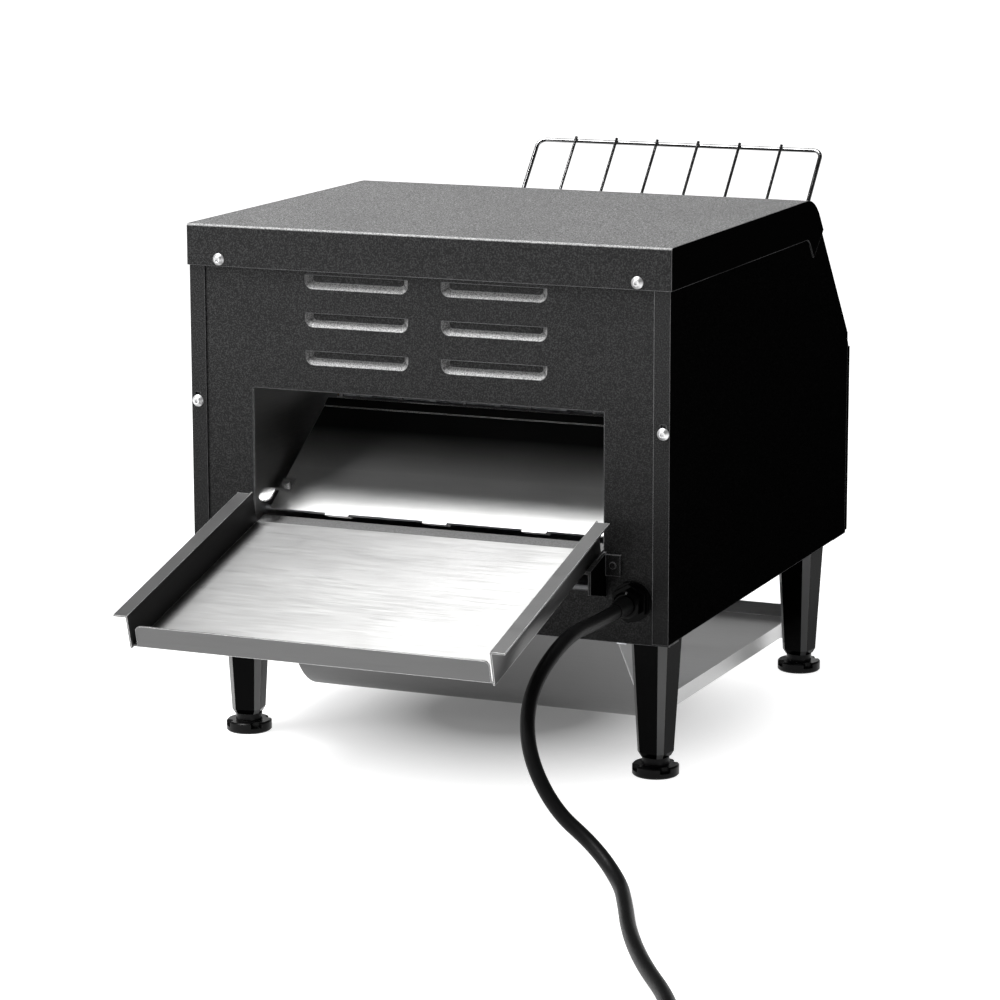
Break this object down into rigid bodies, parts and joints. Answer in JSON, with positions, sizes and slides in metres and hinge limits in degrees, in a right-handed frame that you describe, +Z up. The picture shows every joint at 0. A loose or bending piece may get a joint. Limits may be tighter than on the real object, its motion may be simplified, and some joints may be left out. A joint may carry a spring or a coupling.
{
  "type": "conveyor toaster",
  "caption": "Countertop conveyor toaster with wire belt, wire feed rack, rear toast tray, curved return tray, levelling legs and a mains lead.",
  "frame": {"origin": "centre of the standing footprint, on the surface that the feet rest on", "axes": "+Z up, +Y towards the back where the rear tray is, +X to the right of a person at the controls"},
  "size_m": [0.6152, 1.1909, 0.4006],
  "materials": {
    "powder_coat": "fine black texture",
    "stainless": "brushed",
    "zinc_plate": "satin",
    "bright_sheet": "bright",
    "chrome_wire": "polished",
    "black_plastic": "gloss",
    "matt_plastic": "matt",
    "quartz": "frosted",
    "ceramic": "unglazed ceramic",
    "bronze": "satin",
    "brass_pin": "nickel tinted",
    "cord_rubber": "matt",
    "amber_lens": "clear",
    "foot_rubber": "matt"
  },
  "bodies": {
    "machine": {"top_cover": "powder_coat", "left_side_cover": "powder_coat", "right_side_cover": "powder_coat", "rear_panel": "powder_coat", "front_panel": "powder_coat", "loading_frame": "powder_coat", "base_plate": "zinc_plate", "tray_rails": "zinc_plate", "front_tray_strap": "zinc_plate", "left_inner_wall": "stainless", "right_inner_wall": "stainless", "rear_cross_member": "powder_coat", "tray_brackets": "powder_coat", "discharge_rod": "zinc_plate", "feed_rack": "chrome_wire", "rear_left_leg": "black_plastic", "rear_right_leg": "black_plastic", "front_left_leg": "black_plastic", "front_right_leg": "black_plastic", "conveyor_belt": "chrome_wire", "shaft_bushes": "bronze", "drive_chain": "zinc_plate", "gear_motor": "zinc_plate", "heater_tubes": "quartz", "heater_caps": "ceramic", "upper_reflector": "bright_sheet", "rear_baffle": "bright_sheet", "lower_reflector": "bright_sheet", "fan_frame": "matt_plastic", "terminal_block": "matt_plastic", "control_bodies": "matt_plastic", "power_switch": "black_plastic", "indicator_lamps": "amber_lens", "cover_screws": "chrome_wire", "cable_gland": "black_plastic", "gland_cap": "black_plastic", "cord_sleeve": "cord_rubber", "power_cord": "cord_rubber", "cord_coil": "cord_rubber", "coil_tie": "matt_plastic", "plug_body": "matt_plastic", "plug_pins": "brass_pin"},
    "drive": {"drive_shaft": "zinc_plate", "drive_sprockets": "zinc_plate", "chain_wheel": "zinc_plate"},
    "idler": {"idler_shaft": "zinc_plate", "idler_sprockets": "zinc_plate"},
    "motor_output": {"motor_wheel": "zinc_plate"},
    "slide_plate": {"discharge_slide": "stainless", "discharge_handle": "stainless"},
    "rear_tray": {"rear_toast_tray": "stainless"},
    "lower_tray": {"lower_toast_tray": "stainless"},
    "fan": {"fan_rotor": "matt_plastic"},
    "heat_control": {"heat_knob": "black_plastic"},
    "speed_control": {"speed_knob": "black_plastic"},
    "rocker": {"power_rocker": "black_plastic"},
    "foot_rear_left": {"rear_left_foot": "foot_rubber"},
    "foot_rear_right": {"rear_right_foot": "foot_rubber"},
    "foot_front_left": {"front_left_foot": "foot_rubber"},
    "foot_front_right": {"front_right_foot": "foot_rubber"}
  },
  "joints": [
    {"name": "rear_tray_pull", "type": "slide", "parent": "machine", "child": "rear_tray", "axis": [0, 0.9668, -0.2554], "range_m": [0, 0.025]},
    {"name": "lower_tray_pull", "type": "slide", "parent": "machine", "child": "lower_tray", "axis": [0, -1, 0], "range_m": [0, 0.25]},
    {"name": "slide_flip", "type": "hinge", "parent": "machine", "child": "slide_plate", "pos_m": [0, 0.13997, 0.1737], "axis": [-1, 0, 0], "range_deg": [0, 30]},
    {"name": "drive_spin", "type": "hinge", "parent": "machine", "child": "drive", "pos_m": [0, -0.20453, 0.236], "axis": [1, 0, 0], "continuous": true},
    {"name": "idler_spin", "type": "hinge", "parent": "machine", "child": "idler", "pos_m": [0, 0.01147, 0.236], "axis": [1, 0, 0], "continuous": true},
    {"name": "motor_spin", "type": "hinge", "parent": "machine", "child": "motor_output", "pos_m": [0.17, -0.15653, 0.159], "axis": [1, 0, 0], "continuous": true},
    {"name": "fan_spin", "type": "hinge", "parent": "machine", "child": "fan", "pos_m": [-0.0535, 0.13947, 0.317], "axis": [0, 1, 0], "continuous": true},
    {"name": "heat_turn", "type": "hinge", "parent": "machine", "child": "heat_control", "pos_m": [0.018, -0.25153, 0.166], "axis": [0, 1, 0], "range_deg": [0, 270]},
    {"name": "speed_turn", "type": "hinge", "parent": "machine", "child": "speed_control", "pos_m": [0.112, -0.25153, 0.166], "axis": [0, 1, 0], "range_deg": [0, 270]},
    {"name": "rocker_tip", "type": "hinge", "parent": "machine", "child": "rocker", "pos_m": [-0.154, -0.24953, 0.166], "axis": [-1, 0, 0], "range_deg": [0, 16]},
    {"name": "foot_screw_rear_left", "type": "slide", "parent": "machine", "child": "foot_rear_left", "axis": [0, 0, -1], "range_m": [0, 0.012]},
    {"name": "foot_screw_front_left", "type": "slide", "parent": "machine", "child": "foot_front_left", "axis": [0, 0, -1], "range_m": [0, 0.012]},
    {"name": "foot_screw_rear_right", "type": "slide", "parent": "machine", "child": "foot_rear_right", "axis": [0, 0, -1], "range_m": [0, 0.012]},
    {"name": "foot_screw_front_right", "type": "slide", "parent": "machine", "child": "foot_front_right", "axis": [0, 0, -1], "range_m": [0, 0.012]}
  ],
  "couplings": [
    {"joint": "idler_spin", "follows": "drive_spin", "ratio": 1},
    {"joint": "motor_spin", "follows": "drive_spin", "ratio": 1.6667}
  ]
}
